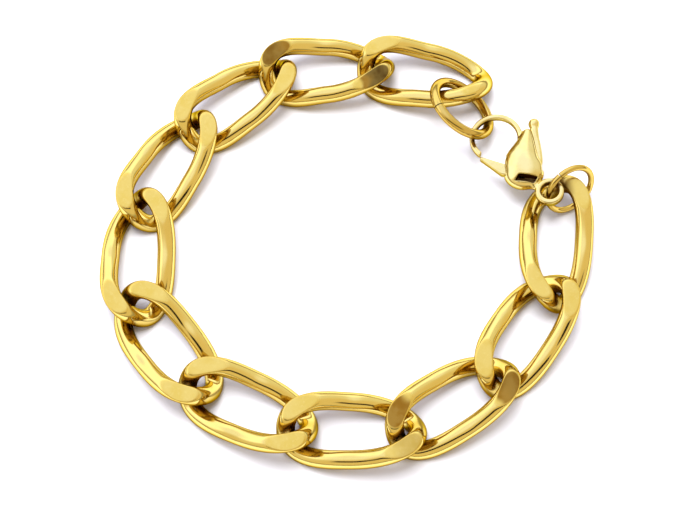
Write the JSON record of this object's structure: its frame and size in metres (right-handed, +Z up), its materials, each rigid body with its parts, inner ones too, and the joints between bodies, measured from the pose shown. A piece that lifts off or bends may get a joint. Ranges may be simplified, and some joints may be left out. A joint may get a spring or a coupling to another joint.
{
  "type": "link bracelet",
  "caption": "Gold-tone curb bracelet of twisted, ground oval links, closed by a lobster clasp with a sprung lever on two jump rings.",
  "frame": {"origin": "middle of the bracelet's box at the height of the surface that it lies on", "axes": "+Z up; +X to the right and +Y away from the viewer of the picture, so the clasp lies at the right and its hook end points along +Y"},
  "size_m": [0.0712, 0.0658, 0.008],
  "materials": {
    "link_gold": "polished yellow gold plate, with flat ground faces",
    "ring_gold": "polished pale gold plate",
    "clasp_gold": "polished gold plate, softly rounded casting",
    "pin_steel": "plain steel"
  },
  "bodies": {
    "bracelet": {"link_01": "link_gold", "link_02": "link_gold", "link_03": "link_gold", "link_04": "link_gold", "link_05": "link_gold", "link_06": "link_gold", "link_07": "link_gold", "link_08": "link_gold", "link_09": "link_gold", "link_10": "link_gold", "link_11": "link_gold", "large_jump_ring": "ring_gold", "small_jump_ring": "ring_gold", "clasp_body": "clasp_gold", "lever_pin": "pin_steel"},
    "lever": {"clasp_lever": "clasp_gold"}
  },
  "joints": [
    {"name": "lever_hinge", "type": "hinge", "parent": "bracelet", "child": "lever", "pos_m": [0.0254, 0.01091, 0.00458], "axis": [0.1372, -0.0611, -0.9887], "range_deg": [0, 20], "stiffness_Nm_per_rad": 0.02, "springref_deg": -5.73}
  ]
}
